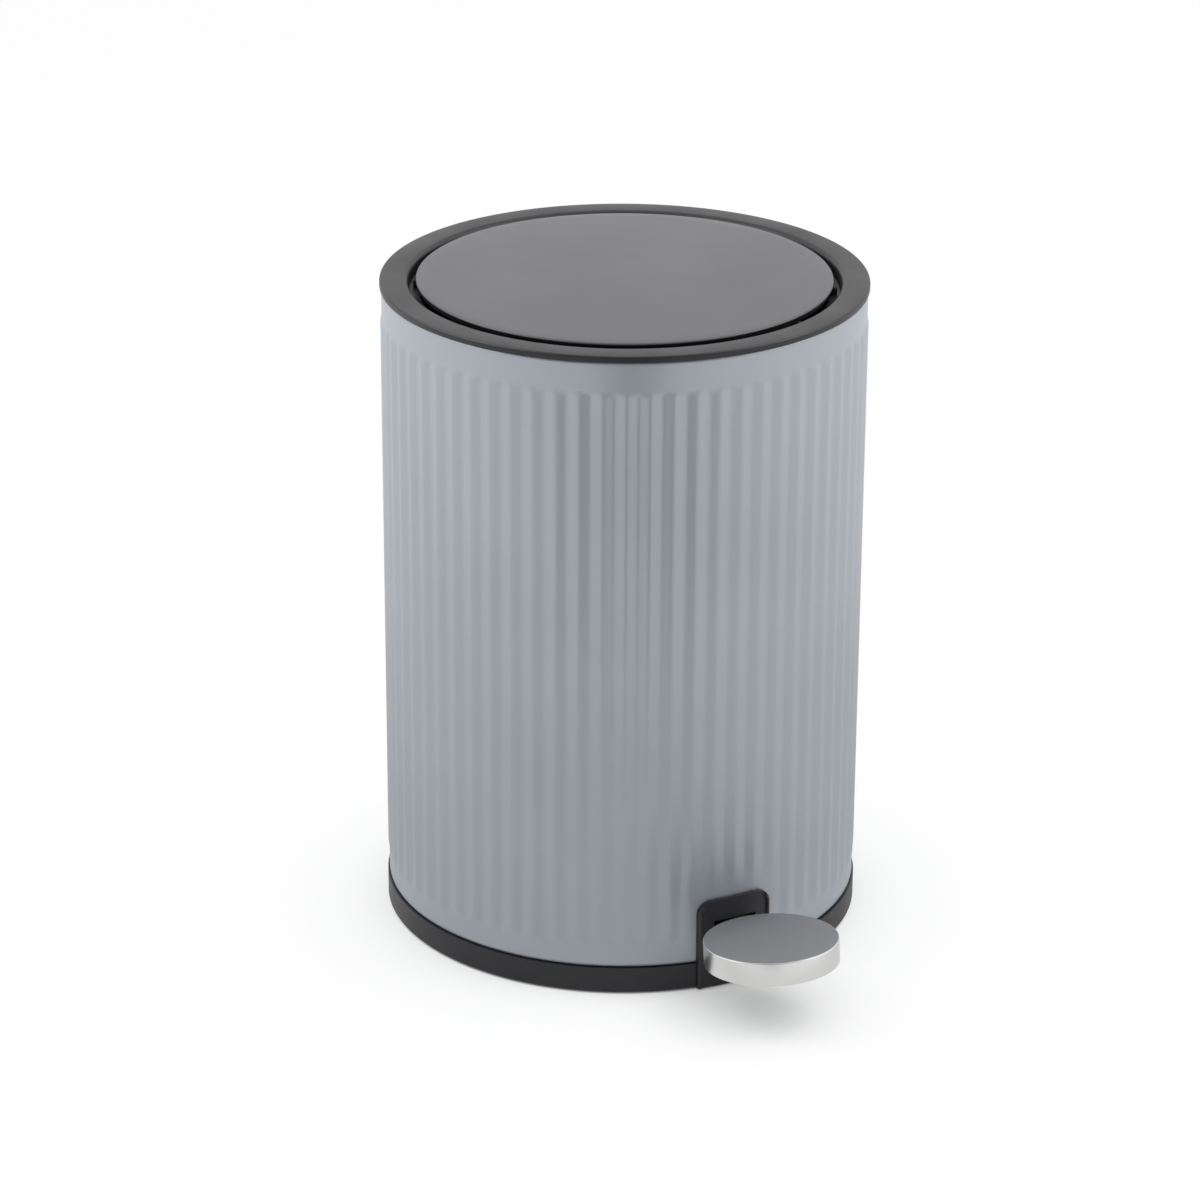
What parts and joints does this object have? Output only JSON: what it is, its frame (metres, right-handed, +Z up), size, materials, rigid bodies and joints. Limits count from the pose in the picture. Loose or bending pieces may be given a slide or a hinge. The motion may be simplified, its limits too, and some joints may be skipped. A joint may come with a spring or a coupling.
{
  "type": "pedal bin",
  "caption": "Round step-on waste bin with a fluted painted steel shell, sunk lid, round pedal, push rod, soft-close damper and lift-out bucket.",
  "frame": {"origin": "the axis of the round body, on the floor that the bin stands on", "axes": "+Z up, -Y to the front where the pedal is, +X to the right of someone who looks from the front along +Y"},
  "size_m": [0.187, 0.242, 0.26],
  "materials": {
    "shell_paint": "satin grey paint on fluted sheet steel",
    "lid_paint": "satin dark grey paint on sheet steel",
    "black_plastic": "matte black moulded plastic",
    "grey_plastic": "plain natural grey moulded plastic",
    "bucket_plastic": "smooth black moulded plastic",
    "satin_steel": "satin finished steel",
    "plated_steel": "zinc plated steel",
    "floor_rubber": "matte black rubber"
  },
  "bodies": {
    "bin": {"outer_shell": "shell_paint", "rim_ring": "black_plastic", "base_moulding": "black_plastic", "floor_ring": "floor_rubber", "pedal_surround": "black_plastic", "rear_column": "black_plastic", "column_screws": "plated_steel", "hinge_pin": "plated_steel", "hinge_pin_clips": "grey_plastic", "lid_buffers": "floor_rubber", "pedal_axle": "plated_steel", "axle_clips": "plated_steel", "damper_cylinder": "grey_plastic"},
    "lid": {"lid_cap": "lid_paint", "lid_liner": "black_plastic"},
    "pedal": {"pedal_lever": "plated_steel", "lever_bush": "grey_plastic", "pedal_core": "black_plastic", "pedal_cap": "satin_steel", "pedal_screws": "plated_steel"},
    "rod": {"push_rod": "plated_steel", "rod_clips": "grey_plastic", "damper_link": "grey_plastic", "damper_plunger": "satin_steel"},
    "bucket": {"inner_bucket": "bucket_plastic"},
    "bail": {"bucket_bail": "plated_steel", "bail_grip": "black_plastic"}
  },
  "joints": [
    {"name": "lid_hinge", "type": "hinge", "parent": "bin", "child": "lid", "pos_m": [0, 0.074, 0.2564], "axis": [-1, 0, 0], "range_deg": [0, 80]},
    {"name": "pedal_pivot", "type": "hinge", "parent": "bin", "child": "pedal", "pos_m": [0, -0.022, 0.014], "axis": [1, 0, 0], "range_deg": [0, 6.99]},
    {"name": "rod_slide", "type": "slide", "parent": "bin", "child": "rod", "axis": [0, 0, 1], "range_m": [0, 0.01091]},
    {"name": "bucket_lift", "type": "slide", "parent": "bin", "child": "bucket", "axis": [0, 0, 1], "range_m": [0, 0.006]},
    {"name": "bail_swing", "type": "hinge", "parent": "bucket", "child": "bail", "pos_m": [0, -0.00815, 0.2361], "axis": [-1, 0, 0], "range_deg": [0, 9.5]}
  ],
  "couplings": [
    {"joint": "pedal_pivot", "follows": "lid_hinge", "ratio": 0.087358},
    {"joint": "rod_slide", "follows": "lid_hinge", "m_per_rad": 0.0078125}
  ]
}
